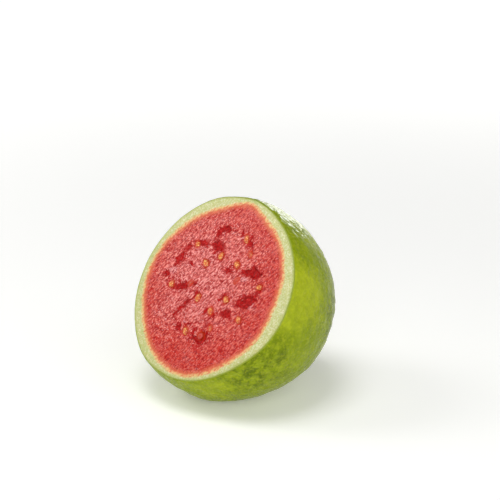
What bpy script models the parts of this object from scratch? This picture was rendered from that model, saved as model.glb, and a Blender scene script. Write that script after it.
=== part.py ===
"""Half of a round guava: a ball with a slice cut off one side, resting on a small flat spot.

The fruit grew as one piece, so its skin, rind and flesh are one solid. Each seed that the cut
laid bare is a solid of its own and sits in a pocket of the cut face.

Frame: metres, +Z up, origin at the centre of the flat spot that the fruit rests on. The cut face
looks along -Y and up. On the face, "across" is +X and "up" climbs the face; a turn is an angle
from across towards up, and a polar angle is measured from the face's outward normal.
"""

from collections import namedtuple
from math import acos, atan2, cos, exp, pi, radians, sin, sqrt

import bmesh
import bpy
from mathutils import Matrix, Vector

MM = 0.001

# Driving dimensions.
FRUIT_RADIUS = 39.0 * MM
CUT_OFFSET = 13.2 * MM  # from the fruit's centre to the cut
CUT_TILT = radians(55.5)  # between the cut face's outward normal and straight up
REST_RADIUS = 12.5 * MM  # the flat spot's radius
SEED_THICKNESS = 1.9 * MM
SEED_TAPER = 0.15  # how much slimmer than its middle a seed's far end is
POCKET_GAP = 0.3 * MM  # all round a seed

# How finely the round shapes are divided.
MERIDIANS = 72
RINGS = 30
SEED_SEGMENTS = 12
SEED_RINGS = 7
RIM_STEPS = 8  # rounds of the search for where the surface meets the cut

FRUIT_COLOUR = (0.62, 0.10, 0.08)
FRUIT_ROUGHNESS = 0.45
SEED_COLOUR = (0.75, 0.42, 0.12)
SEED_ROUGHNESS = 0.35

# Places where the fruit is a little fuller or flatter than a ball.
Swell = namedtuple("Swell", "turn_deg polar_deg height_mm spread_deg")
SWELLS = (
    Swell(50, 72, -0.8, 18),
    Swell(-50, 80, -1.2, 20),
    Swell(-120, 72, 0.8, 12),
    Swell(-165, 72, -0.3, 18),
    Swell(155, 72, -0.3, 18),
    Swell(118, 70, 0.3, 10),
    Swell(88, 72, 0.2, 10),
    Swell(-14, 72, 0.5, 14),
    Swell(5, 124, 0.3, 18),
    Swell(32, 118, 0.2, 14),
    Swell(-84, 96, 0.6, 13),
    Swell(-52, 116, -0.7, 18),
)

# The seeds in the cut face: centre, direction of the long axis, size, and how deep the centre is.
Seed = namedtuple("Seed", "across_mm up_mm turn_deg length_mm width_mm sunk_mm")
SEEDS = (
    Seed(6.6, 21.3, 108, 3.3, 2.2, 0.3),
    Seed(11.1, 16.1, 122, 2.7, 2.0, 0.7),
    Seed(7.0, 11.0, 133, 3.0, 2.3, 0.3),
    Seed(9.8, 5.1, 55, 2.7, 2.0, 0.8),
    Seed(20.8, 5.2, 23, 2.7, 2.0, 0.5),
    Seed(8.5, -2.8, 118, 2.8, 2.4, 0.3),
    Seed(17.6, -8.4, 128, 3.1, 2.1, 0.4),
    Seed(3.7, -8.5, 100, 3.1, 2.4, 0.3),
    Seed(6.8, -14.6, 106, 2.6, 2.0, 0.7),
    Seed(3.7, -18.3, 61, 2.8, 2.4, 0.7),
    Seed(-4.0, -18.4, 117, 3.1, 2.3, 0.4),
    Seed(-4.5, -5.2, 91, 3.2, 2.4, 0.3),
    Seed(-10.7, -0.8, 60, 2.7, 2.0, 0.8),
    Seed(-19.6, -3.1, 83, 2.8, 2.4, 0.4),
    Seed(-7.5, 8.3, 148, 3.2, 2.5, 0.3),
    Seed(-15.1, 14.4, 116, 2.8, 2.0, 0.6),
    Seed(-1.8, 12.5, 83, 3.0, 2.5, 0.3),
)

# Worked out from the driving dimensions.
FRUIT_CENTRE = Vector((0, 0, sqrt(FRUIT_RADIUS**2 - REST_RADIUS**2)))
ACROSS = Vector((1, 0, 0))
UP_THE_FACE = Vector((0, cos(CUT_TILT), sin(CUT_TILT)))
FACE_NORMAL = ACROSS.cross(UP_THE_FACE)
FACE_CENTRE = FRUIT_CENTRE + CUT_OFFSET * FACE_NORMAL


def clear_scene():
    """Removes every object that the file opened with."""
    for old in list(bpy.data.objects):
        bpy.data.objects.remove(old)


def plain_material(name, colour, roughness):
    """Returns a Principled material of one colour."""
    material = bpy.data.materials.new(name)
    material.use_nodes = True
    shader = material.node_tree.nodes["Principled BSDF"]
    shader.inputs["Base Color"].default_value = (*colour, 1)
    shader.inputs["Roughness"].default_value = roughness
    shader.inputs["Metallic"].default_value = 0
    return material


def add_object(name, shape, material):
    """Makes an object of a bmesh, shaded smooth, and frees the bmesh."""
    mesh = bpy.data.meshes.new(name)
    shape.to_mesh(mesh)
    shape.free()
    mesh.shade_smooth()
    mesh.set_sharp_from_angle(angle=radians(40))
    mesh.materials.append(material)
    thing = bpy.data.objects.new(name, mesh)
    bpy.context.scene.collection.objects.link(thing)
    return thing


def direction(turn, polar):
    """Returns the unit vector at this turn about the face normal and this angle from it."""
    around = cos(turn) * ACROSS + sin(turn) * UP_THE_FACE
    return sin(polar) * around + cos(polar) * FACE_NORMAL


def reach(towards):
    """Returns the distance from the fruit's centre to its skin in one direction."""
    distance = FRUIT_RADIUS
    for swell in SWELLS:
        middle = direction(radians(swell.turn_deg), radians(swell.polar_deg))
        nearness = (towards.dot(middle) - 1) / radians(swell.spread_deg) ** 2
        distance += swell.height_mm * MM * exp(nearness)
    return distance


def rim_polar(turn):
    """Returns the polar angle at which the skin meets the cut, at one turn."""
    polar = acos(CUT_OFFSET / FRUIT_RADIUS)
    for _ in range(RIM_STEPS):
        polar = acos(CUT_OFFSET / reach(direction(turn, polar)))
    return polar


def fruit_shape():
    """Returns the body: skin from the back pole to the rim, the flat cut and the flat spot."""
    shape = bmesh.new()
    bmesh.ops.create_uvsphere(shape, u_segments=MERIDIANS, v_segments=RINGS, radius=1)
    front_pole = max(shape.verts, key=lambda vertex: vertex.co.z)
    bmesh.ops.delete(shape, geom=[front_pole], context="VERTS")
    opening = pi / RINGS
    rim_angles = {}
    for vertex in shape.verts:
        turn = atan2(vertex.co.y, vertex.co.x)
        polar = acos(max(-1, min(1, vertex.co.z)))
        key = round(turn, 4)
        if key not in rim_angles:
            rim_angles[key] = rim_polar(turn)
        share = (pi - polar) / (pi - opening)
        towards = direction(turn, pi - share * (pi - rim_angles[key]))
        vertex.co = FRUIT_CENTRE + reach(towards) * towards
    close_opening(shape)
    everything = shape.verts[:] + shape.edges[:] + shape.faces[:]
    bmesh.ops.bisect_plane(
        shape, geom=everything, plane_co=(0, 0, 0), plane_no=(0, 0, -1), clear_outer=True
    )
    close_opening(shape)
    bmesh.ops.recalc_face_normals(shape, faces=shape.faces)
    return shape


def close_opening(shape):
    """Fills the one open loop of a mesh with a flat face."""
    rim = [edge for edge in shape.edges if edge.is_boundary]
    bmesh.ops.edgeloop_fill(shape, edges=rim)


def add_seed_form(shape, seed, margin):
    """Adds one seed to a bmesh, lying along X about the origin and grown all round by a margin."""
    length = seed.length_mm * MM / 2 + margin
    width = seed.width_mm * MM / 2 + margin
    height = SEED_THICKNESS / 2 + margin
    made = bmesh.ops.create_uvsphere(
        shape, u_segments=SEED_SEGMENTS, v_segments=SEED_RINGS, radius=1
    )["verts"]
    for vertex in made:
        slimness = 1 - SEED_TAPER * vertex.co.x
        vertex.co = (vertex.co.x * length, vertex.co.y * width * slimness, vertex.co.z * height)
    return made


def seed_place(seed):
    """Returns the matrix that carries a seed from the origin to its pocket."""
    face_axes = Matrix((ACROSS, UP_THE_FACE, FACE_NORMAL)).transposed().to_4x4()
    offset = Vector((seed.across_mm, seed.up_mm, -seed.sunk_mm)) * MM
    on_face = Matrix.Translation(offset) @ Matrix.Rotation(radians(seed.turn_deg), 4, "Z")
    return Matrix.Translation(FACE_CENTRE) @ face_axes @ on_face


def build_pockets(material):
    """Makes the cutter that hollows every seed's pocket."""
    shape = bmesh.new()
    for seed in SEEDS:
        made = add_seed_form(shape, seed, POCKET_GAP)
        bmesh.ops.transform(shape, matrix=seed_place(seed), verts=made)
    cutter = add_object("pocket_cutter", shape, material)
    cutter.hide_render = True
    cutter.display_type = "WIRE"
    return cutter


def build_fruit():
    """Makes the half fruit with a pocket in its cut face for each seed."""
    skin = plain_material("guava_skin_and_flesh", FRUIT_COLOUR, FRUIT_ROUGHNESS)
    fruit = add_object("fruit_half", fruit_shape(), skin)
    cut = fruit.modifiers.new("seed_pockets", "BOOLEAN")
    cut.operation = "DIFFERENCE"
    cut.solver = "EXACT"
    cut.object = build_pockets(skin)


def build_seeds():
    """Makes the seeds, each with its own object, numbered clockwise from the top of the face."""
    seed_coat = plain_material("seed_coat", SEED_COLOUR, SEED_ROUGHNESS)
    for number, seed in enumerate(SEEDS, start=1):
        shape = bmesh.new()
        add_seed_form(shape, seed, 0)
        thing = add_object(f"seed_{number:02d}", shape, seed_coat)
        thing.matrix_world = seed_place(seed)


clear_scene()
build_fruit()
build_seeds()
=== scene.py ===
"""The looks of a halved guava: waxy mottled skin, pale rind, moist pink flesh and yellow seeds.

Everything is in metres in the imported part's frame: +Z up, the origin at the middle of the flat
spot that the fruit rests on. The cut face looks along -Y and up. On the face, "across" is +X and
"up" climbs the face, a turn is an angle from across towards up, and a polar angle is measured
from the face's outward normal.
"""

import logging
from collections.abc import Sequence
from dataclasses import dataclass
from enum import Enum
from math import acos, atan2, cos, exp, pi, radians, sin, sqrt

import bmesh
import bpy
import numpy as np
from mathutils import Matrix, Vector, noise


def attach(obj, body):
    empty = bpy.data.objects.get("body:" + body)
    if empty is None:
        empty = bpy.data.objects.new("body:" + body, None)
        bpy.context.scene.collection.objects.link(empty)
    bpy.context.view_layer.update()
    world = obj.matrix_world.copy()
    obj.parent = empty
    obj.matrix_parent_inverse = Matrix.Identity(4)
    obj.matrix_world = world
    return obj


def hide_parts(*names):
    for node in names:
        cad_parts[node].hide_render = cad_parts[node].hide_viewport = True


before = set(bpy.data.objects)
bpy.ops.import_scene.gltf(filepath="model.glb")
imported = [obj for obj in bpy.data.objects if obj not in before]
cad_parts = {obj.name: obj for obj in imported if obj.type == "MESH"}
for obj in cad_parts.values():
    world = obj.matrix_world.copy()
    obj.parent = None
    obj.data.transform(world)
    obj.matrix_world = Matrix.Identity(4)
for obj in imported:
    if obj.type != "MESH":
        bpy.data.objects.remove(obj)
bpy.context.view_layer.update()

MM = 0.001
log = logging.getLogger("guava")

Colour = tuple[int, int, int]


class Zone(Enum):
    """The material slots of the fruit's mesh."""

    SKIN = 0
    CUT_FACE = 1


class Layer(Enum):
    """The mesh attributes that carry the anatomy of the fruit and its seeds to their finishes.

    PAST_FLESH, FROM_RIM, FROM_HEART and FROM_SCAR are distances in millimetres. AWAY_HOLLOW,
    AWAY_SEED and AWAY_KNOB are 1 on the outline of the nearest hollow, seed or knob, and more
    outside it. CROWN runs from -1 at a seed's foot to 1 at its top, and VEIL is 0 on a bare seed
    and 1 on one that pulp covers.
    """

    PAST_FLESH = "past_flesh"
    FROM_RIM = "from_rim"
    FROM_HEART = "from_heart"
    AWAY_HOLLOW = "away_hollow"
    AWAY_SEED = "away_seed"
    AWAY_KNOB = "away_knob"
    CROWN = "crown"
    FROM_SCAR = "from_scar"
    VEIL = "veil"


def linear(colour: Colour) -> tuple[float, float, float, float]:
    """Turns a display colour into the renderer's linear one.

    Args:
        colour: Red, green and blue from 0 to 255.

    Returns:
        Linear red, green, blue and an alpha of 1.
    """
    shares = (channel / 255 for channel in colour)
    # The sRGB curve: straight near black, and a power above.
    red, green, blue = (
        share / 12.92 if share <= 0.04045 else ((share + 0.055) / 1.055) ** 2.4
        for share in shares
    )
    return red, green, blue, 1.0


@dataclass(frozen=True)
class Ramp:
    """A smooth rise from one place to another, which may be the lower one."""

    start: float
    end: float
    low: float = 0.0
    high: float = 1.0

    def at(self, values: np.ndarray | float) -> np.ndarray | float:
        """Reads the ramp.

        Args:
            values: The places to read.

        Returns:
            low up to the start, high past the end, and between them on the way.
        """
        share = np.clip((values - self.start) / (self.end - self.start), 0, 1)
        return self.low + (self.high - self.low) * share * share * (3 - 2 * share)


@dataclass(frozen=True)
class Ripple:
    """Unevenness of a mesh: the size and height of its lumps, and which of many noises it reads."""

    size: float
    height: float
    series: int
    series_step: float = 17.3
    gain: float = 1.6
    crumb_reach: float = 0.75

    def rows(self, points: np.ndarray) -> list[Vector]:
        """Turns points into places in this ripple's own noise."""
        return [Vector(row) for row in points / self.size + self.series * self.series_step]

    def smooth(self, points: np.ndarray) -> np.ndarray:
        """Reads it as smooth noise.

        Args:
            points: Where to read it, one row each.

        Returns:
            Values from about -height to height.
        """
        return self.height * np.array([noise.noise(row) for row in self.rows(points)]) * self.gain

    def crumbs(self, points: np.ndarray) -> np.ndarray:
        """Reads it as round crumbs with creases between them.

        Args:
            points: Where to read it, one row each.

        Returns:
            Values from -height in a crease to height on a crumb.
        """
        nearest = np.array([noise.voronoi(row)[0][0] for row in self.rows(points)])
        return self.height * (1 - 2 * np.clip(nearest / self.crumb_reach, 0, 1))


# ------------------------------------------------------------------------------- the fruit's form


@dataclass(frozen=True)
class Swell:
    """A place where the fruit is fuller, or flatter, than a ball."""

    turn_deg: float
    polar_deg: float
    height_mm: float
    spread_deg: float


@dataclass(frozen=True)
class FruitForm:
    """The fruit's outer form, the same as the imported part's."""

    radius: float = 39.0 * MM
    cut_offset: float = 13.2 * MM
    cut_tilt: float = radians(55.5)
    rest_radius: float = 12.5 * MM
    lump_height: float = 0.22 * MM
    lump_size: float = 11.0 * MM
    swells: tuple[Swell, ...] = (
        Swell(50, 72, -0.8, 18),
        Swell(-50, 80, -1.2, 20),
        Swell(-120, 72, 0.8, 12),
        Swell(-165, 72, -0.3, 18),
        Swell(155, 72, -0.3, 18),
        Swell(118, 70, 0.3, 10),
        Swell(88, 72, 0.2, 10),
        Swell(-14, 72, 0.5, 14),
        Swell(5, 124, 0.3, 18),
        Swell(32, 118, 0.2, 14),
        Swell(-84, 96, 0.6, 13),
        Swell(-52, 116, -0.7, 18),
    )

    @property
    def centre(self) -> Vector:
        """The middle of the ball that the fruit is close to."""
        return Vector((0, 0, sqrt(self.radius**2 - self.rest_radius**2)))

    @property
    def across(self) -> Vector:
        """The level direction in the cut face."""
        return Vector((1, 0, 0))

    @property
    def up_the_face(self) -> Vector:
        """The direction that climbs the cut face."""
        return Vector((0, cos(self.cut_tilt), sin(self.cut_tilt)))

    @property
    def face_normal(self) -> Vector:
        """The cut face's outward direction."""
        return self.across.cross(self.up_the_face)

    @property
    def face_centre(self) -> Vector:
        """The point of the cut face nearest the fruit's centre."""
        return self.centre + self.cut_offset * self.face_normal

    def direction(self, turn: float, polar: float) -> Vector:
        """Points from the fruit's centre.

        Args:
            turn: Angle about the face normal.
            polar: Angle from the face normal.

        Returns:
            A unit vector.
        """
        around = cos(turn) * self.across + sin(turn) * self.up_the_face
        return sin(polar) * around + cos(polar) * self.face_normal

    def reach(self, towards: Vector) -> float:
        """Measures the fruit from its centre to its skin.

        Args:
            towards: A unit vector.

        Returns:
            The distance in metres.
        """
        distance = self.radius
        for swell in self.swells:
            middle = self.direction(radians(swell.turn_deg), radians(swell.polar_deg))
            nearness = (towards.dot(middle) - 1) / radians(swell.spread_deg) ** 2
            distance += swell.height_mm * MM * exp(nearness)
        lump = noise.noise(towards * (self.radius / self.lump_size))
        return distance + self.lump_height * lump

    def rim_polar(self, turn: float, rounds: int = 6) -> float:
        """Finds where the skin meets the cut.

        Args:
            turn: Angle about the face normal.
            rounds: How often the guess is mended.

        Returns:
            The polar angle of the rim.
        """
        polar = acos(self.cut_offset / self.radius)
        for _ in range(rounds):
            polar = acos(self.cut_offset / self.reach(self.direction(turn, polar)))
        return polar

    def face_place(self, point: Vector) -> tuple[float, float]:
        """Reads a point's place on the cut face, as distances across and up."""
        offset = point - self.face_centre
        return offset.dot(self.across), offset.dot(self.up_the_face)


# ------------------------------------------------------------------------------- the cut face


@dataclass(frozen=True)
class Bulge:
    """A turn at which the flesh reaches further out, or less far, than elsewhere."""

    turn_deg: float
    height_mm: float
    spread_deg: float


@dataclass(frozen=True)
class Hollow:
    """A torn seed chamber in the flesh, or, where its depth isn't used, a knob of flesh."""

    across_mm: float
    up_mm: float
    turn_deg: float
    length_mm: float
    width_mm: float
    depth_mm: float = 0.8


@dataclass(frozen=True)
class SeedPlace:
    """Where one seed lies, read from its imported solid."""

    name: str
    middle: Vector
    along: Vector
    length: float
    width: float
    thickness: float

    @classmethod
    def of_node(cls, name: str, form: FruitForm) -> "SeedPlace":
        """Measures a packed seed.

        Args:
            name: The seed's node.
            form: The fruit it lies in.

        Returns:
            Its place and size.
        """
        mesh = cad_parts[name].data
        points = np.array([vertex.co for vertex in mesh.vertices], float)
        low, high = points.min(0), points.max(0)
        middle = Vector((low + high) / 2)
        offsets = points - np.array(middle)
        across = offsets @ np.array(form.across)
        up = offsets @ np.array(form.up_the_face)
        farthest = int(np.argmax(across**2 + up**2))
        turn = atan2(up[farthest], across[farthest])
        along = cos(turn) * form.across + sin(turn) * form.up_the_face
        side = form.face_normal.cross(along)
        spans = [float(np.ptp(offsets @ np.array(axis))) for axis in (along, side, form.face_normal)]
        return cls(name, middle, along, *spans)


@dataclass
class CutFace:
    """The relief and the anatomy of the cut face.

    The tugs and tears drag the outlines of hollows and knobs about, slackness thins moats and
    veils in places, and grain, grit and waves are the relief of the flesh itself. The walls and
    sides are ramps over distances that are 1 on an outline.
    """

    form: FruitForm
    seeds: list[SeedPlace]
    flesh_radius: float = 32.0 * MM
    heart_across: float = -5.0 * MM
    heart_up: float = 3.0 * MM
    moat_depth: float = 0.5 * MM
    knob_height: float = 0.35 * MM
    veil_height: float = 0.12 * MM
    fillet: float = 0.35 * MM
    streak_turn: float = radians(60)
    streak_stretch: float = 2.3
    farthest: float = 4.0
    thinnest: float = 0.35
    tugs: tuple[Ripple, Ripple] = (Ripple(2.4 * MM, 0.7 * MM, 11), Ripple(2.4 * MM, 0.7 * MM, 12))
    tears: tuple[Ripple, Ripple] = (Ripple(1.0 * MM, 0.3 * MM, 13), Ripple(1.0 * MM, 0.3 * MM, 14))
    slackness: Ripple = Ripple(1.7 * MM, 0.5, 15)
    border_waves: Ripple = Ripple(3.2 * MM, 0.3 * MM, 21)
    heart_waves: Ripple = Ripple(8.0 * MM, 2.5 * MM, 31)
    grain: Ripple = Ripple(0.8 * MM, 0.078 * MM, 41)
    grit: Ripple = Ripple(1.2 * MM, 0.052 * MM, 42)
    waves: Ripple = Ripple(5.0 * MM, 0.16 * MM, 43)
    hollow_wall: Ramp = Ramp(1.2, 0.65)
    knob_side: Ramp = Ramp(1.2, 0.4)
    moat_side: Ramp = Ramp(1.75, 1.15)
    veil_side: Ramp = Ramp(1.7, 0.9)
    rind_calm: Ramp = Ramp(-0.5 * MM, 0.8 * MM, 1.0, 0.25)
    torn_outside: Ramp = Ramp(2.2, 1.1)
    torn_inside: Ramp = Ramp(0.6, 1.0, 0.0, 0.9)
    standing_clear: Ramp = Ramp(0.0, 0.5 * MM)
    out_of_hollow: Ramp = Ramp(0.5, 1.1)
    outline: tuple[Bulge, ...] = (
        Bulge(87, 2.5, 10),
        Bulge(-87, 2.2, 18),
        Bulge(172, 1.0, 20),
        Bulge(2, -1.1, 16),
        Bulge(-115, 0.8, 16),
    )
    hollows: tuple[Hollow, ...] = (
        Hollow(-4.3, 22.9, 15, 6.4, 2.7, 0.8),
        Hollow(-6.4, 20.8, 60, 3.8, 1.7, 0.5),
        Hollow(-5.4, 16.2, -42, 5.7, 3.9, 1.0),
        Hollow(-3.4, 14.6, -20, 2.8, 2.0, 0.7),
        Hollow(3.6, 22.9, 80, 2.0, 1.6, 0.4),
        Hollow(9.3, 19.4, -30, 3.4, 2.0, 0.6),
        Hollow(8.3, 22.6, -40, 2.5, 1.1, 0.3),
        Hollow(15.6, 9.7, 4, 7.4, 3.4, 1.1),
        Hollow(17.4, 8.8, -10, 4.0, 2.0, 0.8),
        Hollow(11.8, 9.3, -15, 3.0, 1.7, 0.4),
        Hollow(4.2, 8.1, 10, 3.2, 2.2, 0.5),
        Hollow(-20.6, 7.4, 55, 4.7, 2.4, 0.7),
        Hollow(-21.6, 5.0, 90, 2.8, 1.5, 0.5),
        Hollow(-18.6, 12.5, 70, 3.2, 2.6, 0.6),
        Hollow(-12.2, 15.2, 0, 4.9, 1.5, 0.3),
        Hollow(-14.0, 6.1, 0, 1.6, 1.3, 0.3),
        Hollow(-23.4, 0.2, -30, 3.0, 1.8, 0.5),
        Hollow(-14.6, -2.7, 18, 7.4, 2.9, 0.8),
        Hollow(-12.9, -1.6, 70, 3.0, 2.0, 0.7),
        Hollow(-9.0, -0.6, 10, 3.6, 1.0, 0.3),
        Hollow(-6.4, -3.9, 80, 2.8, 1.1, 0.4),
        Hollow(-8.3, -7.4, 35, 4.5, 1.5, 0.5),
        Hollow(-10.9, -11.3, 68, 5.1, 1.5, 0.5),
        Hollow(-11.6, -14.0, 90, 2.5, 1.1, 0.3),
        Hollow(18.2, -1.2, 25, 7.2, 3.9, 1.1),
        Hollow(16.6, -3.0, -5, 5.5, 2.2, 0.7),
        Hollow(21.0, 3.3, 72, 3.8, 1.3, 0.4),
        Hollow(20.8, 0.6, 10, 2.8, 1.3, 0.5),
        Hollow(11.4, -8.2, -15, 4.2, 3.2, 0.7),
        Hollow(6.3, -2.9, 70, 2.8, 1.1, 0.3),
        Hollow(5.6, -10.2, 40, 2.8, 1.1, 0.3),
        Hollow(1.8, -9.2, 70, 2.3, 1.0, 0.3),
        Hollow(5.1, -18.6, 65, 5.3, 4.4, 1.2),
        Hollow(2.6, -20.0, -6, 5.9, 1.6, 0.8),
        Hollow(-0.1, -18.0, 85, 4.5, 1.2, 0.5),
        Hollow(-7.7, -18.1, -38, 3.8, 2.0, 0.6),
        Hollow(-4.2, -16.0, 5, 4.0, 1.0, 0.3),
    )
    knobs: tuple[Hollow, ...] = (
        Hollow(13.4, 6.4, 10, 2.8, 1.8),
        Hollow(-21.3, 2.1, 20, 3.0, 2.4),
        Hollow(20.6, -2.8, 70, 2.4, 1.6),
        Hollow(4.0, 20.8, 60, 1.6, 1.2),
        Hollow(-5.6, -15.2, 30, 1.8, 1.0),
        Hollow(16.7, -7.2, 20, 1.8, 1.0),
    )

    def flesh_border(self, turns: np.ndarray) -> np.ndarray:
        """Finds how far the flesh reaches.

        Args:
            turns: Angles about the face's centre.

        Returns:
            The distance from the face's centre to the rind at each turn.
        """
        border = np.full(turns.shape, self.flesh_radius)
        for bulge in self.outline:
            away = np.cos(turns - radians(bulge.turn_deg)) - 1
            border += bulge.height_mm * MM * np.exp(away / radians(bulge.spread_deg) ** 2)
        return border

    def away_from(self, places: np.ndarray, hollow: Hollow) -> np.ndarray:
        """Measures how far each place is from the middle of a hollow or a knob.

        Args:
            places: Distances across and up the face.
            hollow: The hollow or knob.

        Returns:
            The distance, with 1 at its outline.
        """
        turn = radians(hollow.turn_deg)
        offset = places - np.array((hollow.across_mm, hollow.up_mm)) * MM
        along = offset @ np.array((cos(turn), sin(turn)))
        aside = offset @ np.array((-sin(turn), cos(turn)))
        return np.hypot(along / (hollow.length_mm * MM / 2), aside / (hollow.width_mm * MM / 2))

    def away_from_seed(self, places: np.ndarray, seed: SeedPlace) -> np.ndarray:
        """Measures how far each place is from a seed.

        Args:
            places: Distances across and up the face.
            seed: The seed.

        Returns:
            The distance, with 1 at the seed's own outline.
        """
        middle = np.array(self.form.face_place(seed.middle))
        along = np.array((seed.along.dot(self.form.across), seed.along.dot(self.form.up_the_face)))
        aside = np.array((-along[1], along[0]))
        offset = places - middle
        return np.hypot(offset @ along / (seed.length / 2), offset @ aside / (seed.width / 2))

    def crown_height(self, seed: SeedPlace) -> float:
        """Returns how far a seed stands above the cut."""
        rise = (seed.middle - self.form.face_centre).dot(self.form.face_normal)
        return rise + seed.thickness / 2

    def bareness(self, seed: SeedPlace) -> float:
        """Measures how bare of pulp a seed is.

        Args:
            seed: The seed.

        Returns:
            1 for a seed that stands clear of the flesh, down to 0 for one that is low or in a hollow.
        """
        place = np.array([self.form.face_place(seed.middle)])
        away_hollow = min(float(self.away_from(place, hollow)[0]) for hollow in self.hollows)
        clear = self.standing_clear.at(self.crown_height(seed))
        return float(clear * self.out_of_hollow.at(away_hollow))

    def survey(self, places: np.ndarray, rim: np.ndarray) -> tuple[np.ndarray, dict[Layer, np.ndarray]]:
        """Works out the relief and the layers at places on the face.

        Args:
            places: Distances across and up the face, one row each.
            rim: The rim's distance from the face's centre at each place's turn.

        Returns:
            The height above the cut, and each layer's values.
        """
        flat = np.column_stack((places, np.zeros(len(places))))
        radii = np.hypot(*places.T)
        turns = np.arctan2(places[:, 1], places[:, 0])
        tug = np.column_stack([ripple.smooth(flat) for ripple in self.tugs])
        tear = np.column_stack([ripple.smooth(flat) for ripple in self.tears])
        torn = places + tug + tear
        past_flesh = radii - self.flesh_border(turns) - self.border_waves.smooth(flat)
        from_heart = np.hypot(*(places - np.array((self.heart_across, self.heart_up))).T)

        away_hollow = np.full(len(places), self.farthest)
        depth = np.zeros(len(places))
        for hollow in self.hollows:
            away = self.away_from(torn, hollow)
            away_hollow = np.minimum(away_hollow, away)
            depth = np.maximum(depth, self.hollow_wall.at(away) * hollow.depth_mm * MM)
        away_knob = np.full(len(places), self.farthest)
        for knob in self.knobs:
            away_knob = np.minimum(away_knob, self.away_from(torn, knob))
        slack = np.clip(0.5 + self.slackness.smooth(flat), 0, 1)
        uneven = self.thinnest + (1 - self.thinnest) * slack
        away_seed = np.full(len(places), self.farthest)
        veil = np.zeros(len(places))
        for seed in self.seeds:
            away = self.away_from_seed(places, seed)
            away_seed = np.minimum(away_seed, away)
            bare = self.bareness(seed)
            depth = np.maximum(depth, self.moat_side.at(away) * uneven * bare * self.moat_depth)
            veil = np.maximum(veil, self.veil_side.at(away) * uneven * (1 - bare))

        torn_edge = 1 + self.torn_outside.at(away_hollow) * self.torn_inside.at(away_hollow)
        streaked = (flat @ rotation_about_z(-self.streak_turn)) * (1 / self.streak_stretch, 1, 1)
        lift = torn_edge * (self.grain.smooth(streaked) + self.grit.crumbs(flat))
        lift = self.rind_calm.at(past_flesh) * (lift + self.waves.smooth(flat))
        lift += self.knob_height * self.knob_side.at(away_knob) + self.veil_height * veil - depth
        lift -= self.fillet * Ramp(self.fillet, 0.0).at(rim - radii)
        layers = {
            Layer.PAST_FLESH: past_flesh / MM,
            Layer.FROM_RIM: (rim - radii) / MM,
            Layer.FROM_HEART: (from_heart + self.heart_waves.smooth(flat)) / MM,
            Layer.AWAY_HOLLOW: away_hollow,
            Layer.AWAY_SEED: away_seed,
            Layer.AWAY_KNOB: away_knob,
        }
        return lift, layers


def rotation_about_z(angle: float) -> np.ndarray:
    """Returns the matrix that turns rows of points about Z."""
    return np.array(Matrix.Rotation(angle, 3, "Z")).T


# ------------------------------------------------------------------------------- materials


@dataclass(frozen=True)
class Mottle:
    """A noise pattern in a finish, and the share of a colour that its values give."""

    size: float
    detail: float = 2.0
    share: Ramp = Ramp(0.0, 1.0)
    roughness: float = 0.5
    distortion: float = 0.0


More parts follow.
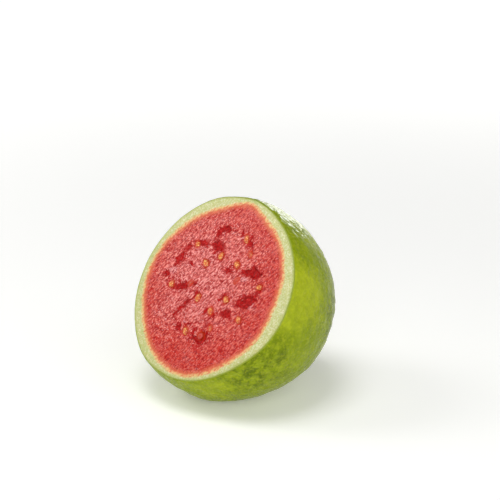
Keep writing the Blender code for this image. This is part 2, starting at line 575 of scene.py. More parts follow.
class Graph:
    """Adds shader nodes to one material and joins them."""

    def __init__(self, name: str) -> None:
        """Starts a material that holds only its Principled shader."""
        self.material = bpy.data.materials.new(name)
        self.material.use_nodes = True
        self.tree = self.material.node_tree
        self.shader = self.tree.nodes["Principled BSDF"]

    def node(self, kind: str, **settings: object) -> bpy.types.Node:
        """Adds a node.

        Args:
            kind: Its type.
            **settings: Its own properties.

        Returns:
            The node.
        """
        made = self.tree.nodes.new(kind)
        for name, value in settings.items():
            setattr(made, name, value)
        return made

    def feed(self, socket: bpy.types.NodeSocket, value: object) -> None:
        """Links a socket to another, or sets its value.

        Args:
            socket: The socket to feed.
            value: The other socket, or the value.
        """
        if isinstance(value, bpy.types.NodeSocket):
            self.tree.links.new(value, socket)
        else:
            socket.default_value = value

    def place(self, axes: Matrix | None = None, stretch: Sequence[float] = (1, 1, 1),
              middle: Sequence[float] = (0, 0, 0)) -> bpy.types.NodeSocket:
        """Reads the point being shaded.

        Args:
            axes: The axes that a pattern follows, as columns, or None for the part's own.
            stretch: How much longer a pattern is along each of those axes.
            middle: The pattern's origin.

        Returns:
            A vector socket.
        """
        point = self.node("ShaderNodeTexCoord").outputs["Object"]
        if axes is None:
            return point
        mapping = self.node("ShaderNodeMapping", vector_type="TEXTURE")
        self.feed(mapping.inputs["Vector"], point)
        mapping.inputs["Location"].default_value = middle
        mapping.inputs["Rotation"].default_value = axes.to_euler()
        mapping.inputs["Scale"].default_value = stretch
        return mapping.outputs["Vector"]

    def noise(self, mottle: Mottle, place: bpy.types.NodeSocket | None = None) -> bpy.types.NodeSocket:
        """Adds a noise pattern.

        Args:
            mottle: The pattern.
            place: Where it is read, or None for the point itself.

        Returns:
            A value socket, around 0.5.
        """
        made = self.node("ShaderNodeTexNoise")
        self.feed(made.inputs["Vector"], place or self.place())
        made.inputs["Scale"].default_value = 1 / mottle.size
        made.inputs["Detail"].default_value = mottle.detail
        made.inputs["Roughness"].default_value = mottle.roughness
        made.inputs["Distortion"].default_value = mottle.distortion
        return made.outputs["Fac"]

    def mottle(self, mottle: Mottle) -> bpy.types.NodeSocket:
        """Adds a noise pattern and reads its share."""
        return self.span(self.noise(mottle), mottle.share)

    def centred(self, value: bpy.types.NodeSocket) -> bpy.types.NodeSocket:
        """Moves a pattern's middle from 0.5 to 0."""
        return self.math("SUBTRACT", value, 0.5)

    def roughen(self, value: bpy.types.NodeSocket, ragged: bpy.types.NodeSocket,
                amount: float) -> bpy.types.NodeSocket:
        """Makes the outlines that a value draws ragged.

        Args:
            value: The value.
            ragged: A centred pattern.
            amount: How much of it is added.

        Returns:
            A value socket.
        """
        return self.math("ADD", value, self.math("MULTIPLY", ragged, amount))

    def cells(self, size: float) -> bpy.types.NodeSocket:
        """Adds a cell pattern.

        Args:
            size: The distance between cells.

        Returns:
            A value socket that rises from each cell's middle.
        """
        made = self.node("ShaderNodeTexVoronoi")
        self.feed(made.inputs["Vector"], self.place())
        made.inputs["Scale"].default_value = 1 / size
        return made.outputs["Distance"]

    def distance(self, point: Sequence[float]) -> bpy.types.NodeSocket:
        """Measures how far the point being shaded is from another.

        Args:
            point: The other point.

        Returns:
            A value socket, in metres.
        """
        made = self.node("ShaderNodeVectorMath", operation="DISTANCE")
        self.feed(made.inputs[0], self.place())
        made.inputs[1].default_value = point
        return made.outputs["Value"]

    def layer(self, layer: Layer) -> bpy.types.NodeSocket:
        """Reads one of the mesh's layers."""
        return self.node("ShaderNodeAttribute", attribute_name=layer.value).outputs["Fac"]

    def span(self, value: bpy.types.NodeSocket, ramp: Ramp) -> bpy.types.NodeSocket:
        """Maps a value by a ramp.

        Args:
            value: What to map.
            ramp: The ramp.

        Returns:
            A value socket.
        """
        made = self.node("ShaderNodeMapRange", interpolation_type="SMOOTHSTEP")
        self.feed(made.inputs["Value"], value)
        made.inputs["From Min"].default_value = ramp.start
        made.inputs["From Max"].default_value = ramp.end
        made.inputs["To Min"].default_value = ramp.low
        made.inputs["To Max"].default_value = ramp.high
        return made.outputs["Result"]

    def math(self, operation: str, first: object, second: object) -> bpy.types.NodeSocket:
        """Joins two values.

        Args:
            operation: How they are joined.
            first: A value or a socket.
            second: The other.

        Returns:
            A value socket.
        """
        made = self.node("ShaderNodeMath", operation=operation)
        self.feed(made.inputs[0], first)
        self.feed(made.inputs[1], second)
        return made.outputs["Value"]

    def blend(self, share: object, below: object, above: object) -> bpy.types.NodeSocket:
        """Mixes two colours.

        Args:
            share: How much of the upper one shows.
            below: The lower colour, as a display colour or a socket.
            above: The upper one.

        Returns:
            A colour socket.
        """
        made = self.node("ShaderNodeMix", data_type="RGBA")
        self.feed(made.inputs["Factor"], share)
        for name, value in (("A", below), ("B", above)):
            socket = next(s for s in made.inputs if s.name == name and s.type == "RGBA")
            self.feed(socket, linear(value) if isinstance(value, tuple) else value)
        return next(s for s in made.outputs if s.type == "RGBA")

    def paint(self, colour: object, *coats: tuple[object, object]) -> bpy.types.NodeSocket:
        """Lays colours over each other.

        Args:
            colour: The lowest one.
            *coats: The share and the colour of each further one, from the lowest up.

        Returns:
            A colour socket.
        """
        for share, above in coats:
            colour = self.blend(share, colour, above)
        return colour

    def bump(self, heights: Sequence[tuple[bpy.types.NodeSocket, float]]) -> None:
        """Roughens the shading normal.

        Args:
            heights: Patterns from 0 to 1, each with its real height.
        """
        normal = None
        for height, distance in heights:
            made = self.node("ShaderNodeBump")
            made.inputs["Strength"].default_value = 1.0
            made.inputs["Distance"].default_value = distance
            self.feed(made.inputs["Height"], height)
            if normal is not None:
                self.feed(made.inputs["Normal"], normal)
            normal = made.outputs["Normal"]
        self.feed(self.shader.inputs["Normal"], normal)

    def set(self, **values: object) -> None:
        """Sets or links the shader's own sockets; an underscore stands for a space."""
        for name, value in values.items():
            self.feed(self.shader.inputs[name.replace("_", " ")], value)


@dataclass(frozen=True)
class Tint:
    """A broad patch of skin that is yellower, or darker, than the rest; the yellower ones are partly
    blush and partly painted light, the darker ones partly olive mottling and partly painted shade.
    """

    azimuth_deg: float
    elevation_deg: float
    reach_mm: float
    share: float


@dataclass(frozen=True)
class SkinFinish:
    """Waxy guava skin: yellow green with olive blotches, fine pores and a corky scar. Its broad
    yellower patches are partly blush and partly painted light, and its olive blotches gather in patches
    that are partly painted shade on the lower side.

    Its ramps run over noise around 0.5, over a cell pattern, or over millimetres from the scar.
    """

    form: FruitForm
    yellow_green: Colour = (170, 182, 34)
    leaf_green: Colour = (134, 151, 16)
    olive: Colour = (86, 104, 2)
    pale: Colour = (180, 186, 40)
    cork: Colour = (112, 92, 52)
    cork_dark: Colour = (70, 54, 30)
    specular: float = 0.08
    unevenness: Mottle = Mottle(6 * MM, 4, roughness=0.6)
    blush_and_light_ragged: float = 1.6
    shade_ragged: float = -1.2
    scar_ragged: float = 1.8
    blush_and_light_share: Ramp = Ramp(-0.1, 1.0)
    shade_share: Ramp = Ramp(0.0, 0.8, 0.22, 0.95)
    blotch: Mottle = Mottle(3.8 * MM, 5, Ramp(0.38, 0.62), 0.74)
    fleck: Mottle = Mottle(1.1 * MM, 3, Ramp(0.46, 0.72, 0.0, 0.5), 0.6)
    mote: Mottle = Mottle(0.9 * MM, 3, Ramp(0.5, 0.3, 0.0, 0.22), 0.65)
    pore_spacing: float = 1.4 * MM
    pore_share: Ramp = Ramp(0.2, 0.06, 0.0, 0.35)
    scar_halo: Ramp = Ramp(6.0, 2.6, 0.0, 0.75)
    scar_edge: Ramp = Ramp(2.7, 2.1)
    scar_middle: Ramp = Ramp(1.4, 0.7)
    gloss: Mottle = Mottle(2.0 * MM, 3, Ramp(0.3, 0.7, 0.2, 0.34))
    scar_roughness: Ramp = Ramp(3.0, 2.0, 0.0, 0.8)
    lumps: Mottle = Mottle(2.2 * MM, 3)
    lump_height: float = 0.4 * MM
    pore_height: float = 0.14 * MM
    grain: Mottle = Mottle(0.7 * MM)
    grain_height: float = 0.07 * MM
    patch_core: float = 0.3
    # Yellower patches: partly the skin's own blush, partly painted light on the middle right where the
    # right lamp falls and on the bottom where the floor's light bounces.
    blush_and_painted_light: tuple[Tint, ...] = (
        Tint(84, 18, 20, 0.85),
        Tint(150, 35, 26, 0.5),
        Tint(-110, 5, 28, 0.7),
        Tint(30, -42, 10, 0.4),
    )
    # Darker patches, mostly on the lower side, where the olive blotches show: partly the skin's own
    # mottling and partly painted shade.
    painted_shade_patches: tuple[Tint, ...] = (
        Tint(58, -24, 20, 0.85),
        Tint(118, -8, 16, 0.6),
        Tint(175, 10, 20, 0.7),
        Tint(-70, -25, 18, 0.6),
    )

    def patches(self, graph: Graph, tints: tuple[Tint, ...]) -> bpy.types.NodeSocket:
        """Adds the shares of several broad patches.

        Args:
            graph: The material's graph.
            tints: The patches.

        Returns:
            The highest share at each point.
        """
        highest = 0.0
        for tint in tints:
            outwards = heading(tint.azimuth_deg, tint.elevation_deg)
            middle = self.form.centre + self.form.radius * outwards
            reach = tint.reach_mm * MM
            fade = Ramp(reach, self.patch_core * reach, 0.0, tint.share)
            share = graph.span(graph.distance(middle), fade)
            highest = graph.math("MAXIMUM", highest, share)
        return highest

    def material(self) -> bpy.types.Material:
        """Builds the material."""
        graph = Graph("guava_skin")
        ragged = graph.centred(graph.noise(self.unevenness))
        # Yellower patches, partly blush and partly painted light.
        blush_and_light = graph.roughen(self.patches(graph, self.blush_and_painted_light), ragged, self.blush_and_light_ragged)
        # The olive blotches show only inside the darker patches: partly real mottling, partly painted
        # shade on the lower side.
        shade = graph.roughen(self.patches(graph, self.painted_shade_patches), ragged, self.shade_ragged)
        olive = graph.math("MULTIPLY", graph.mottle(self.blotch), graph.span(shade, self.shade_share))
        pores = graph.cells(self.pore_spacing)
        scar = graph.roughen(graph.layer(Layer.FROM_SCAR), ragged, self.scar_ragged)
        colour = graph.paint(
            self.leaf_green,
            (graph.span(blush_and_light, self.blush_and_light_share), self.yellow_green),
            (olive, self.olive),
            (graph.mottle(self.fleck), self.pale),
            (graph.mottle(self.mote), self.olive),
            (graph.span(pores, self.pore_share), self.pale),
            (graph.span(scar, self.scar_halo), self.olive),
            (graph.span(scar, self.scar_edge), self.cork),
            (graph.span(scar, self.scar_middle), self.cork_dark),
        )
        rough = graph.math("MAXIMUM", graph.mottle(self.gloss), graph.span(scar, self.scar_roughness))
        graph.set(Base_Color=colour, Roughness=rough, Specular_IOR_Level=self.specular)
        graph.bump(
            (
                (graph.noise(self.lumps), self.lump_height),
                (pores, self.pore_height),
                (graph.noise(self.grain), self.grain_height),
            )
        )
        return graph.material


@dataclass(frozen=True)
class CutFinish:
    """Freshly cut guava: gritty coral flesh, wet red hollows and a pale green rind. The grain is darker
    in its creases and lighter on its crests, partly its own tone and partly painted shade and painted
    glints.

    Its ramps run over noise around 0.5, or over a layer in that layer's own unit.
    """

    form: FruitForm
    streak_turn: float
    streak_stretch: float
    flesh: Colour = (198, 48, 38)
    # flesh_dark: partly the grain's own tone, partly painted shade in its creases; flesh_light and
    # heart_light: partly its own paler tone, partly painted glints on its crests.
    flesh_dark: Colour = (158, 12, 16)
    flesh_light: Colour = (232, 128, 110)
    heart: Colour = (212, 106, 100)
    heart_light: Colour = (238, 150, 144)
    flush: Colour = (186, 28, 28)
    hollow: Colour = (182, 10, 12)
    hollow_deep: Colour = (142, 2, 4)
    hollow_wall: Colour = (214, 66, 62)
    pit: Colour = (156, 12, 18)
    # Whitish-pink specks of painted glint on the torn flesh.
    painted_glint_speck: Colour = (248, 182, 178)
    moat: Colour = (196, 52, 22)
    knob: Colour = (226, 150, 152)
    peach: Colour = (220, 118, 80)
    yellow: Colour = (228, 194, 128)
    rind: Colour = (198, 198, 134)
    rind_fleck: Colour = (226, 226, 190)
    rind_green: Colour = (166, 176, 92)
    peel: Colour = (138, 152, 34)
    specular: float = 0.14
    coat_roughness: float = 0.1
    subsurface: float = 0.1
    subsurface_scale: float = 1.0 * MM
    subsurface_radius: tuple[float, float, float] = (1.0, 0.35, 0.25)
    grit: Mottle = Mottle(0.6 * MM)
    grit_height: float = 0.42 * MM
    moist: Mottle = Mottle(0.35 * MM)
    moist_height: float = 0.12 * MM
    unevenness: Mottle = Mottle(1.5 * MM, 3, roughness=0.7)
    hollow_ragged: float = 1.8
    seed_ragged: float = 1.0
    knob_ragged: float = 0.8
    fibre: Mottle = Mottle(0.9 * MM, 3, roughness=0.6)
    fibre_radius: float = 32 * MM
    fibre_squeeze: float = 0.18
    border_ragged: float = 1.1
    peel_unevenness: Mottle = Mottle(0.8 * MM, 3)
    peel_ragged: float = 0.5
    cloud: Mottle = Mottle(5 * MM, 2, Ramp(0.38, 0.62, 0.0, 0.22))
    heart_share: Ramp = Ramp(30, 9, 0.0, 0.75)
    # How much paler the painted glints on the grain's crests are near the heart.
    heart_glow: Ramp = Ramp(30, 9)
    hollow_flush: Ramp = Ramp(2.6, 1.1, 0.0, 0.85)
    seed_flush: Ramp = Ramp(2.6, 1.3, 0.0, 0.4)
    knob_share: Ramp = Ramp(1.5, 0.7, 0.0, 0.85)
    tornness: Ramp = Ramp(32, 20, 0.45, 1.0)
    # Darker in the grain's creases and lighter on its crests: partly the grain's own tone, partly
    # painted shade in the creases and painted glints on the crests.
    crease: Ramp = Ramp(0.485, 0.385, 0.0, 0.9)
    pale_grain_and_glint: Ramp = Ramp(0.525, 0.62, 0.0, 0.95)
    pits: Mottle = Mottle(0.62 * MM, 2, Ramp(0.42, 0.32), distortion=0.4)
    painted_glint_specks: Mottle = Mottle(0.5 * MM, 2, Ramp(0.6, 0.7))
    wall: Mottle = Mottle(0.95 * MM, 3, roughness=0.6)
    wall_open: Ramp = Ramp(0.36, 0.6)
    wall_lit: Ramp = Ramp(0.58, 0.7, 0.0, 0.7)
    hollow_share: Ramp = Ramp(1.3, 0.9, 0.0, 0.96)
    moat_share: Ramp = Ramp(1.6, 1.15, 0.0, 0.85)
    peach_share: Ramp = Ramp(-2.6, -0.4, 0.0, 0.75)
    yellow_grit: Ramp = Ramp(0.38, 0.54)
    yellow_share: Ramp = Ramp(-0.9, 0.2)
    rind_share: Ramp = Ramp(0.1, 1.2)
    rind_speck: Mottle = Mottle(0.6 * MM)
    rind_pale: Ramp = Ramp(0.48, 0.62, 0.0, 0.7)
    rind_dark: Ramp = Ramp(0.45, 0.34, 0.0, 0.4)
    rind_cloud: Mottle = Mottle(2.4 * MM, 2, Ramp(0.45, 0.7, 0.0, 0.35))
    under_peel: Ramp = Ramp(1.5, 0.5, 0.0, 0.6)
    peel_edge: Ramp = Ramp(0.55, 0.25, 0.0, 0.9)
    roughness: Ramp = Ramp(1.6, 0.8, 0.38, 0.3)
    coat: Ramp = Ramp(0.9, 1.7, 0.02, 0.16)

    def fibres(self, graph: Graph) -> bpy.types.NodeSocket:
        """Adds noise drawn out from the face's centre to its rim.

        Args:
            graph: The material's graph.

        Returns:
            A value socket, around 0.5.
        """
        form = self.form
        axes = Matrix((form.across, form.up_the_face, form.face_normal)).transposed()
        place = graph.place(axes, middle=form.face_centre)
        split = graph.node("ShaderNodeSeparateXYZ")
        graph.feed(split.inputs["Vector"], place)
        level = graph.node("ShaderNodeCombineXYZ")
        graph.feed(level.inputs["X"], split.outputs["X"])
        graph.feed(level.inputs["Y"], split.outputs["Y"])
        outwards = graph.node("ShaderNodeVectorMath", operation="NORMALIZE")
        graph.feed(outwards.inputs[0], level.outputs["Vector"])
        ring = graph.node("ShaderNodeVectorMath", operation="SCALE")
        graph.feed(ring.inputs[0], outwards.outputs["Vector"])
        ring.inputs["Scale"].default_value = self.fibre_radius
        drawn_out = graph.node("ShaderNodeVectorMath", operation="MULTIPLY_ADD")
        graph.feed(drawn_out.inputs[0], level.outputs["Vector"])
        drawn_out.inputs[1].default_value = (self.fibre_squeeze,) * 3
        graph.feed(drawn_out.inputs[2], ring.outputs["Vector"])
        return graph.noise(self.fibre, drawn_out.outputs["Vector"])

    def flesh_colour(self, graph: Graph, grit: bpy.types.NodeSocket, hollow: bpy.types.NodeSocket,
                     ragged: bpy.types.NodeSocket) -> bpy.types.NodeSocket:
        """Colours the flesh, its hollows and its knobs.

        Args:
            graph: The material's graph.
            grit: The grain's pattern.
            hollow: The ragged distance from the hollows.
            ragged: A centred pattern for the other outlines.

        Returns:
            A colour socket.
        """
        from_heart = graph.layer(Layer.FROM_HEART)
        seed = graph.roughen(graph.layer(Layer.AWAY_SEED), ragged, self.seed_ragged)
        knob = graph.roughen(graph.layer(Layer.AWAY_KNOB), ragged, self.knob_ragged)
        torn = graph.span(from_heart, self.tornness)
        # The colour of the painted glints on the grain's crests, paler near the heart.
        light = graph.blend(graph.span(from_heart, self.heart_glow), self.flesh_light, self.heart_light)
        wall = graph.noise(self.wall)
        deep = graph.paint(
            self.hollow_deep,
            (graph.span(wall, self.wall_open), self.hollow),
            (graph.span(wall, self.wall_lit), self.hollow_wall),
        )
        return graph.paint(
            self.flesh,
            (graph.mottle(self.cloud), self.heart),
            (graph.span(from_heart, self.heart_share), self.heart),
            (graph.span(hollow, self.hollow_flush), self.flush),
            (graph.span(seed, self.seed_flush), self.flush),
            (graph.span(knob, self.knob_share), self.knob),
            # Painted shade in the grain's creases and painted glints on its crests, each partly the
            # grain's own tone.
            (graph.span(grit, self.crease), self.flesh_dark),
            (graph.math("MULTIPLY", graph.span(grit, self.pale_grain_and_glint), torn), light),
            (graph.math("MULTIPLY", graph.mottle(self.pits), torn), self.pit),
            # Painted glint specks, more of them towards the heart.
            (graph.math("MULTIPLY", graph.mottle(self.painted_glint_specks), torn), self.painted_glint_speck),
            (graph.span(hollow, self.hollow_share), deep),
            (graph.span(seed, self.moat_share), self.moat),
        )

    def rind_colour(self, graph: Graph) -> bpy.types.NodeSocket:
        """Colours the rind.

        Args:
            graph: The material's graph.

        Returns:
            A colour socket.
        """
        speck = graph.noise(self.rind_speck)
        return graph.paint(
            self.rind,
            (graph.span(speck, self.rind_pale), self.rind_fleck),
            (graph.span(speck, self.rind_dark), self.rind_green),
            (graph.mottle(self.rind_cloud), self.rind_green),
        )

    def material(self) -> bpy.types.Material:
        """Builds the material."""
        graph = Graph("guava_cut_face")
        along = cos(self.streak_turn) * self.form.across + sin(self.streak_turn) * self.form.up_the_face
        normal = self.form.face_normal
        axes = Matrix((along, normal.cross(along), normal)).transposed()
        grit = graph.noise(self.grit, graph.place(axes, (self.streak_stretch, 1, 1)))
        ragged = graph.centred(graph.noise(self.unevenness))
        hollow = graph.roughen(graph.layer(Layer.AWAY_HOLLOW), ragged, self.hollow_ragged)
        fibre = graph.centred(self.fibres(graph))
        past = graph.roughen(graph.layer(Layer.PAST_FLESH), fibre, self.border_ragged)
        peel = graph.centred(graph.noise(self.peel_unevenness))
        from_rim = graph.roughen(graph.layer(Layer.FROM_RIM), peel, self.peel_ragged)
        yellow = graph.blend(graph.span(grit, self.yellow_grit), self.peach, self.yellow)
        colour = graph.paint(
            self.flesh_colour(graph, grit, hollow, ragged),
            (graph.span(past, self.peach_share), self.peach),
            (graph.span(past, self.yellow_share), yellow),
            (graph.span(past, self.rind_share), self.rind_colour(graph)),
            (graph.span(from_rim, self.under_peel), self.rind_green),
            (graph.span(from_rim, self.peel_edge), self.peel),
        )
        graph.set(
            Base_Color=colour,
            Roughness=graph.span(hollow, self.roughness),
            Specular_IOR_Level=self.specular,
            Coat_Weight=graph.span(hollow, self.coat),
            Coat_Roughness=self.coat_roughness,
            Subsurface_Weight=self.subsurface,
            Subsurface_Scale=self.subsurface_scale,
            Subsurface_Radius=self.subsurface_radius,
        )
        graph.bump(((grit, self.grit_height), (graph.noise(self.moist), self.moist_height)))
        return graph.material


@dataclass(frozen=True)
class SeedFinish:
    """A hard yellow seed, golden on its crown and amber towards its foot."""

    golden: Colour = (216, 104, 34)
    amber: Colour = (192, 58, 20)
    cream: Colour = (250, 208, 110)
    pulp: Colour = (186, 34, 24)
    roughness: float = 0.3
    coat: float = 0.7
    coat_roughness: float = 0.1
    patches: Mottle = Mottle(0.9 * MM, 3)
    crown_ragged: float = 1.2
    veil_ragged: float = 1.6
    crown_share: Ramp = Ramp(0.35, 0.9)
    veil_share: Ramp = Ramp(0.25, 0.7, 0.0, 0.92)
    glint: Mottle = Mottle(0.6 * MM, 2, Ramp(0.54, 0.64, 0.0, 0.8))
    grain: Mottle = Mottle(0.45 * MM)
    grain_height: float = 0.1 * MM

    def material(self) -> bpy.types.Material:
        """Builds the material."""
        graph = Graph("guava_seed")
        patchy = graph.centred(graph.noise(self.patches))
        crown = graph.roughen(graph.layer(Layer.CROWN), patchy, self.crown_ragged)
        veil = graph.roughen(graph.layer(Layer.VEIL), patchy, self.veil_ragged)
        colour = graph.paint(
            self.amber,
            (graph.span(crown, self.crown_share), self.golden),
            (graph.mottle(self.glint), self.cream),
            (graph.span(veil, self.veil_share), self.pulp),
        )
        graph.set(Base_Color=colour, Roughness=self.roughness, Coat_Weight=self.coat,
                  Coat_Roughness=self.coat_roughness)
        graph.bump(((graph.noise(self.grain), self.grain_height),))
        return graph.material


# ------------------------------------------------------------------------------- the pieces


def add_piece(name: str, shape: bmesh.types.BMesh,
              materials: Sequence[bpy.types.Material]) -> bpy.types.Object:
    """Makes a smooth-shaded object of a bmesh and frees the bmesh.

    Args:
        name: The object's name.
        shape: The mesh, in its place.
        materials: Its material slots in order.

    Returns:
        The object.
    """
    mesh = bpy.data.meshes.new(name)
    shape.to_mesh(mesh)
    shape.free()
    mesh.shade_smooth()
    for material in materials:
        mesh.materials.append(material)
    piece = bpy.data.objects.new(name, mesh)
    bpy.context.scene.collection.objects.link(piece)
    return piece


def add_layer(piece: bpy.types.Object, layer: Layer, values: Sequence[float]) -> None:
    """Stores a layer's value at every vertex of a piece."""
    attribute = piece.data.attributes.new(layer.value, "FLOAT", "POINT")
    attribute.data.foreach_set("value", np.array(values, np.float32))


@dataclass
class FruitBody:
    """The half fruit in one closed mesh: a cut face of close rings and a skin of wider ones."""

    form: FruitForm
    cut_face: CutFace
    meridians: int = 400
    face_rings: int = 122
    skin_rings: int = 100
    ripples: Ripple = Ripple(6.5 * MM, 0.1 * MM, 51)
    swells: Ripple = Ripple(2.6 * MM, 0.1 * MM, 52)
    dimples: Ripple = Ripple(3.2 * MM, 0.1 * MM, 53)
    smooth_rim: Ramp = Ramp(0.0, 2.0 * MM)
    scar_radius: float = 2.3 * MM
    scar_hollow: float = 0.9 * MM
    scar_spread: float = 2.2
    scar_lip: float = 0.35 * MM
    lip_width: float = 0.5 * MM

    def build(self) -> bpy.types.Object:
        """Models and dresses the fruit.

        Returns:
            The finished piece.
        """
        rings = self.face_rings + self.skin_rings
        shape = bmesh.new()
        bmesh.ops.create_uvsphere(shape, u_segments=self.meridians, v_segments=rings, radius=1)
        unit = np.array([vertex.co for vertex in shape.verts])
        ring = np.rint(np.arccos(np.clip(unit[:, 2], -1, 1)) / pi * rings).astype(int)
        turn = np.arctan2(unit[:, 1], unit[:, 0])
        rim = self.rim_angles(turn)

        points = np.zeros_like(unit)
        on_face = ring <= self.face_rings
        points[~on_face], from_scar = self.skin_points(turn[~on_face], ring[~on_face], rim[~on_face])
        points[on_face], layers = self.face_points(turn[on_face], ring[on_face], rim[on_face])
        points[:, 2] = np.maximum(points[:, 2], 0)
        for vertex, point in zip(shape.verts, points):
            vertex.co = point
        for face in shape.faces:
            inner = min(ring[vertex.index] for vertex in face.verts)
            face.material_index = Zone.CUT_FACE.value if inner < self.face_rings else Zone.SKIN.value

        cut = CutFinish(self.form, self.cut_face.streak_turn, self.cut_face.streak_stretch)
        piece = add_piece("guava_half", shape, (SkinFinish(self.form).material(), cut.material()))
        for layer, shares in layers.items():
            values = np.zeros(len(unit))
            values[on_face] = shares
            add_layer(piece, layer, values)
        scar_distances = np.full(len(unit), self.form.radius / MM)
        scar_distances[~on_face] = from_scar / MM
        add_layer(piece, Layer.FROM_SCAR, scar_distances)
        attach(piece, "root")
        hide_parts("fruit_half")
        return piece

    def rim_angles(self, turns: np.ndarray) -> np.ndarray:
        """Finds the rim's polar angle at each vertex.

        Args:
            turns: The vertices' angles about the face normal.

        Returns:
            The polar angles.
        """
        steps = np.rint(turns / (2 * pi) * self.meridians).astype(int) % self.meridians
        angles = np.array(
            [self.form.rim_polar(2 * pi * step / self.meridians) for step in range(self.meridians)]
        )
        return angles[steps]

    def face_points(self, turn: np.ndarray, ring: np.ndarray, rim: np.ndarray
                    ) -> tuple[np.ndarray, dict[Layer, np.ndarray]]:
        """Places the cut face's vertices.

        Args:
            turn: Each vertex's angle about the face's centre.
            ring: Its ring, counted from the centre.
            rim: The rim's polar angle at its turn.

        Returns:
            The points and the layers.
        """
        rim_radius = self.form.cut_offset * np.tan(rim)
        radius = rim_radius * ring / self.face_rings
        places = np.column_stack((np.cos(turn), np.sin(turn))) * radius[:, None]
        lift, layers = self.cut_face.survey(places, rim_radius)
        axes = np.array((self.form.across, self.form.up_the_face, self.form.face_normal))
        points = np.column_stack((places, lift)) @ axes + np.array(self.form.face_centre)
        return points, layers

    def skin_points(self, turn: np.ndarray, ring: np.ndarray, rim: np.ndarray
                    ) -> tuple[np.ndarray, np.ndarray]:
        """Places the skin's vertices, with a stem scar opposite the cut face.

        Args:
            turn: Each vertex's angle about the face normal.
            ring: Its ring, counted from the face's centre.
            rim: The rim's polar angle at its turn.

        Returns:
            The points, and their distances from the scar's middle.
        """
        share = (self.face_rings + self.skin_rings - ring) / self.skin_rings
        polar = pi - share * (pi - rim)
        towards = np.array([self.form.direction(*angles) for angles in zip(turn, polar)])
        reach = np.array([self.form.reach(Vector(row)) for row in towards])
        level = towards * self.form.radius
        from_rim = (polar - rim) * self.form.radius
        from_scar = (pi - polar) * self.form.radius
        uneven = self.ripples.smooth(level) + self.swells.smooth(level) + self.dimples.crumbs(level)
        height = reach + self.smooth_rim.at(from_rim) * uneven
        height -= self.scar_hollow * np.exp(-((from_scar / (self.scar_spread * self.scar_radius)) ** 2))
        height += self.scar_lip * np.exp(-(((from_scar - self.scar_radius) / self.lip_width) ** 2))
        return towards * height[:, None] + np.array(self.form.centre), from_scar


@dataclass
class SeedPiece:
    """One seed bared by the cut."""

    place: SeedPlace
    form: FruitForm
    number: int
    veil: float
    segments: int = 28
    rings: int = 18
    taper: float = 0.15
    dent_depth: float = 0.09
    dent_scale: float = 1.3
    dent_step: float = 5.1

    def build(self, material: bpy.types.Material) -> bpy.types.Object:
        """Models and dresses the seed.

        Args:
            material: The seeds' finish.

        Returns:
            The finished piece.
        """
        place = self.place
        shape = bmesh.new()
        bmesh.ops.create_uvsphere(shape, u_segments=self.segments, v_segments=self.rings, radius=1)
        side = self.form.face_normal.cross(place.along)
        axes = Matrix((place.along, side, self.form.face_normal)).transposed()
        crowns = [vertex.co.z for vertex in shape.verts]
        for vertex in shape.verts:
            own_noise = Vector((self.number * self.dent_step, 0, 0))
            dent = noise.noise(vertex.co * self.dent_scale + own_noise)
            grown = vertex.co * (1 + self.dent_depth * dent)
            width = place.width * (1 - self.taper * grown.x)
            scaled = Vector((grown.x * place.length, grown.y * width, grown.z * place.thickness)) / 2
            vertex.co = place.middle + axes @ scaled
        piece = add_piece(f"guava_{place.name}", shape, (material,))
        add_layer(piece, Layer.CROWN, crowns)
        add_layer(piece, Layer.VEIL, [self.veil] * len(crowns))
        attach(piece, "root")
        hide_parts(place.name)
        return piece


# ------------------------------------------------------------------------------- the studio


@dataclass(frozen=True)
class Softbox:
    """A soft square light that looks at the fruit."""

    name: str
    azimuth_deg: float
    elevation_deg: float
    distance: float
    side: float
    watts: float
    spread_deg: float = 180.0

    def build(self, target: Vector) -> None:
        """Makes the light.

        Args:
            target: What it looks at.
        """
        light = bpy.data.lights.new(self.name, "AREA")
        light.shape = "SQUARE"
        light.size = self.side
        light.energy = self.watts
        light.spread = radians(self.spread_deg)
        lamp = bpy.data.objects.new(self.name, light)
        outwards = heading(self.azimuth_deg, self.elevation_deg)
        lamp.location = target + self.distance * outwards
        lamp.rotation_mode = "QUATERNION"
        lamp.rotation_quaternion = outwards.to_track_quat("Z", "Y")
        lamp.visible_camera = False
        bpy.context.scene.collection.objects.link(lamp)


def heading(azimuth_deg: float, elevation_deg: float) -> Vector:
    """Points away from the fruit.

    Args:
        azimuth_deg: 0 is in front, along -Y, and 90 is to the right, along +X.
        elevation_deg: Height above the horizon.

    Returns:
        A unit vector.
    """
    azimuth, elevation = radians(azimuth_deg), radians(elevation_deg)
    level = cos(elevation)
    return Vector((sin(azimuth) * level, -cos(azimuth) * level, sin(elevation)))


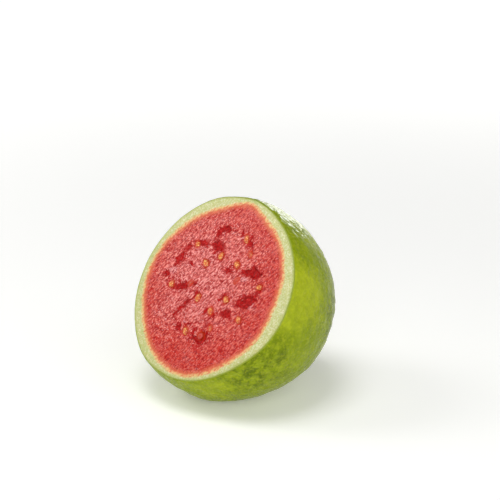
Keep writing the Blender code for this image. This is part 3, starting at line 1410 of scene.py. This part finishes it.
@dataclass
class Studio:
    """A pale floor, soft light and the camera."""

    form: FruitForm
    camera_azimuth_deg: float = 42.8
    camera_elevation_deg: float = 20.0
    camera_distance: float = 0.528
    lens: float = 100.0
    aim_right: float = 7.1 * MM
    aim_up: float = 18.6 * MM
    floor_side: float = 8.0
    floor_colour: Colour = (250, 250, 248)
    floor_roughness: float = 0.9
    floor_specular: float = 0.2
    # How strongly the floor glows as painted light, from near the fruit to far off.
    floor_glow: Ramp = Ramp(0.15, 0.9, 0.2, 0.72)
    world_colour: Colour = (255, 255, 255)
    horizon_strength: float = 0.9
    zenith_strength: float = 0.2
    haze_height: float = 0.45
    softboxes: tuple[Softbox, ...] = (
        Softbox("back_softbox", -153, 5.5, 1.6, 0.36, 0.25, 50),
        Softbox("top_softbox", 10, 75, 0.9, 0.4, 3.2),
        Softbox("front_softbox", 40, 22, 1.1, 0.8, 3.2),
        Softbox("left_softbox", -56, 42, 1.0, 0.4, 2.2),
        Softbox("right_softbox", 88, 32, 1.0, 0.8, 1.4),
    )

    def build(self) -> None:
        """Makes the floor, the lights and the camera."""
        self.build_floor()
        self.build_world()
        for softbox in self.softboxes:
            softbox.build(self.form.centre)
        self.build_camera()
        settings = bpy.context.scene.view_settings
        settings.view_transform = "Standard"
        settings.look = "None"

    def build_floor(self) -> None:
        """Makes the floor, level with the flat spot; it glows as painted light."""
        graph = Graph("pale_floor")
        graph.set(
            Base_Color=linear(self.floor_colour),
            Roughness=self.floor_roughness,
            Specular_IOR_Level=self.floor_specular,
            Emission_Color=linear(self.floor_colour),
            # The floor glows: painted light, weaker near the fruit and stronger far from it, that
            # brightens the floor and lifts the shade around the fruit.
            Emission_Strength=graph.span(graph.distance((0, 0, 0)), self.floor_glow),
        )
        shape = bmesh.new()
        bmesh.ops.create_grid(shape, x_segments=1, y_segments=1, size=self.floor_side / 2)
        floor = add_piece("studio_floor", shape, (graph.material,))

    def build_world(self) -> None:
        """Lights the scene softly from all round, more from near the horizon than from above."""
        world = bpy.data.worlds.new("studio_world")
        world.use_nodes = True
        tree = world.node_tree
        background = tree.nodes["Background"]
        background.inputs["Color"].default_value = linear(self.world_colour)
        direction = tree.nodes.new("ShaderNodeTexCoord").outputs["Generated"]
        split = tree.nodes.new("ShaderNodeSeparateXYZ")
        tree.links.new(direction, split.inputs["Vector"])
        fade = tree.nodes.new("ShaderNodeMapRange")
        fade.interpolation_type = "SMOOTHSTEP"
        fade.inputs["From Max"].default_value = self.haze_height
        fade.inputs["To Min"].default_value = self.horizon_strength
        fade.inputs["To Max"].default_value = self.zenith_strength
        tree.links.new(split.outputs["Z"], fade.inputs["Value"])
        tree.links.new(fade.outputs["Result"], background.inputs["Strength"])
        bpy.context.scene.world = world

    def build_camera(self) -> None:
        """Sets the camera up in front of the cut face's right side, looking down."""
        outwards = heading(self.camera_azimuth_deg, self.camera_elevation_deg)
        rightwards = Vector((0, 0, 1)).cross(outwards).normalized()
        upwards = outwards.cross(rightwards)
        place = self.form.centre + self.camera_distance * outwards
        target = self.form.centre + self.aim_right * rightwards + self.aim_up * upwards
        data = bpy.data.cameras.new("studio_camera")
        data.lens = self.lens
        camera = bpy.data.objects.new("studio_camera", data)
        camera.location = place
        camera.rotation_mode = "QUATERNION"
        camera.rotation_quaternion = (place - target).to_track_quat("Z", "Y")
        bpy.context.scene.collection.objects.link(camera)
        bpy.context.scene.camera = camera


def main() -> None:
    """Builds the studio, the fruit and its seeds, and reports each piece."""
    form = FruitForm()
    Studio(form).build()
    log.info("built the studio")
    names = sorted(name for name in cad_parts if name.startswith("seed_"))
    places = [SeedPlace.of_node(name, form) for name in names]
    cut_face = CutFace(form, places)
    body = FruitBody(form, cut_face).build()
    log.info("built %s with %d faces", body.name, len(body.data.polygons))
    seed_material = SeedFinish().material()
    for number, place in enumerate(places, start=1):
        seed = SeedPiece(place, form, number, 1 - cut_face.bareness(place)).build(seed_material)
        log.info("built %s", seed.name)


if __name__ == "__main__":
    logging.basicConfig(level=logging.INFO, format="%(message)s")
    main()
